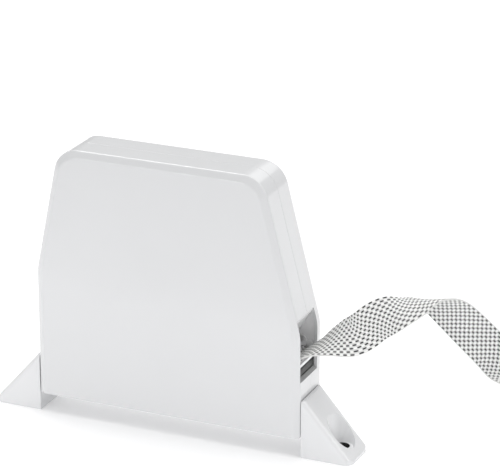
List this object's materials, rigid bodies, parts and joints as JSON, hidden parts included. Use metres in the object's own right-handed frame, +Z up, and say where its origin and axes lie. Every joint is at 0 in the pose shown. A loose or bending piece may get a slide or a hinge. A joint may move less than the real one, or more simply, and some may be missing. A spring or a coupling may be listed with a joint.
{
  "type": "roller shutter strap winder",
  "caption": "Surface-mounted spring strap winder: slim tapered case swinging between two wedge-shaped screw lugs, with a woven strap leaving a mouth in one end between two rollers.",
  "frame": {"origin": "on the mounting plane, midway between the two screw holes and mid-thickness of the case", "axes": "+X along the case towards the belt mouth, +Y from the front face to the back face, +Z up away from the mounting surface"},
  "size_m": [0.3755, 0.0517, 0.165],
  "materials": {
    "case_plastic": "fine matt moulded, light grey-white",
    "lug_plastic": "fine matt moulded, white",
    "guide_plastic": "satin moulded",
    "belt_webbing": "woven polyester, white with rows of dark dashes",
    "roller_chrome": "polished",
    "steel_sheet": "bright zinc",
    "steel_bar": "turned, satin",
    "screw_steel": "zinc plated",
    "spring_steel": "blued strip",
    "reel_plastic": "moulded grey",
    "bearing_plastic": "natural, slippery"
  },
  "bodies": {
    "lugs": {"right_lug": "lug_plastic", "left_lug": "lug_plastic", "right_pivot_pin": "steel_bar", "left_pivot_pin": "steel_bar", "right_pivot_clip": "steel_sheet", "left_pivot_clip": "steel_sheet"},
    "case": {"front_shell": "case_plastic", "rear_shell": "case_plastic", "case_screws": "screw_steel", "right_pivot_bush": "bearing_plastic", "left_pivot_bush": "bearing_plastic", "reel_axle": "steel_bar", "thrust_washers": "bearing_plastic", "spring_arbor": "reel_plastic", "upper_roller_pin": "steel_bar", "lower_roller_pin": "steel_bar", "roller_bracket": "steel_sheet", "belt_guide": "guide_plastic", "belt_inner_run": "belt_webbing", "free_belt": "belt_webbing"},
    "reel": {"reel_drum": "reel_plastic", "reel_front_flange": "reel_plastic", "belt_key": "reel_plastic", "wound_belt": "belt_webbing", "drive_spring": "spring_steel", "spring_cover": "reel_plastic"},
    "upper_roller": {"upper_roller": "roller_chrome"},
    "lower_roller": {"lower_roller": "roller_chrome"}
  },
  "joints": [
    {"name": "case_swivel", "type": "hinge", "parent": "lugs", "child": "case", "pos_m": [0, 0, 0.02], "axis": [1, 0, 0], "range_deg": [-90, 90]},
    {"name": "reel_spin", "type": "hinge", "parent": "case", "child": "reel", "pos_m": [-0.01, 0, 0.088], "axis": [0, 1, 0], "continuous": true},
    {"name": "upper_roller_spin", "type": "hinge", "parent": "case", "child": "upper_roller", "pos_m": [0.0742, 0, 0.0597], "axis": [0, 1, 0], "continuous": true},
    {"name": "lower_roller_spin", "type": "hinge", "parent": "case", "child": "lower_roller", "pos_m": [0.0788, 0, 0.0544], "axis": [0, 1, 0], "continuous": true}
  ],
  "couplings": [
    {"joint": "upper_roller_spin", "follows": "reel_spin", "ratio": 21.667},
    {"joint": "lower_roller_spin", "follows": "reel_spin", "ratio": -21.667}
  ]
}
